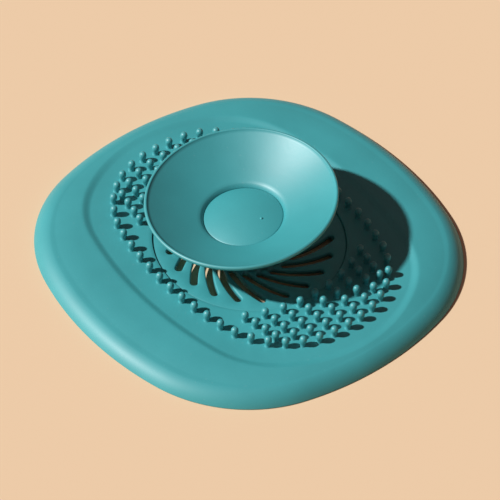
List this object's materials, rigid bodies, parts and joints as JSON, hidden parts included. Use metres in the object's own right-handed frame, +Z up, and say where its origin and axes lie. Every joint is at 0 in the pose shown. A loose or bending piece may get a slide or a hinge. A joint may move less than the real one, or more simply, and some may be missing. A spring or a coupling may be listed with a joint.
{
  "type": "sink strainer",
  "caption": "Rounded-square rubber drain mat with hair pegs and a swirl-slotted plate under a flexible cup that is pressed down to close the drain.",
  "frame": {"origin": "centre of the underside, on the surface that the mat lies on", "axes": "+Z up, +X along the oval recess, +Y across it"},
  "size_m": [0.153, 0.153, 0.0319],
  "materials": {
    "mat_rubber": "satin moulded rubber, teal",
    "peg_rubber": "satin moulded rubber, teal",
    "plate_rubber": "satin moulded rubber, teal",
    "cup_rubber": "smooth satin rubber, teal"
  },
  "bodies": {
    "mat": {"base_mat": "mat_rubber", "peg_loop": "peg_rubber", "left_peg_field": "peg_rubber", "right_peg_field": "peg_rubber", "strainer_disc": "plate_rubber"},
    "stopper": {"stopper_cup": "cup_rubber", "press_stem": "cup_rubber"}
  },
  "joints": [
    {"name": "stopper_press", "type": "slide", "parent": "mat", "child": "stopper", "axis": [0, 0, 1], "range_m": [-0.0078, 0]}
  ]
}
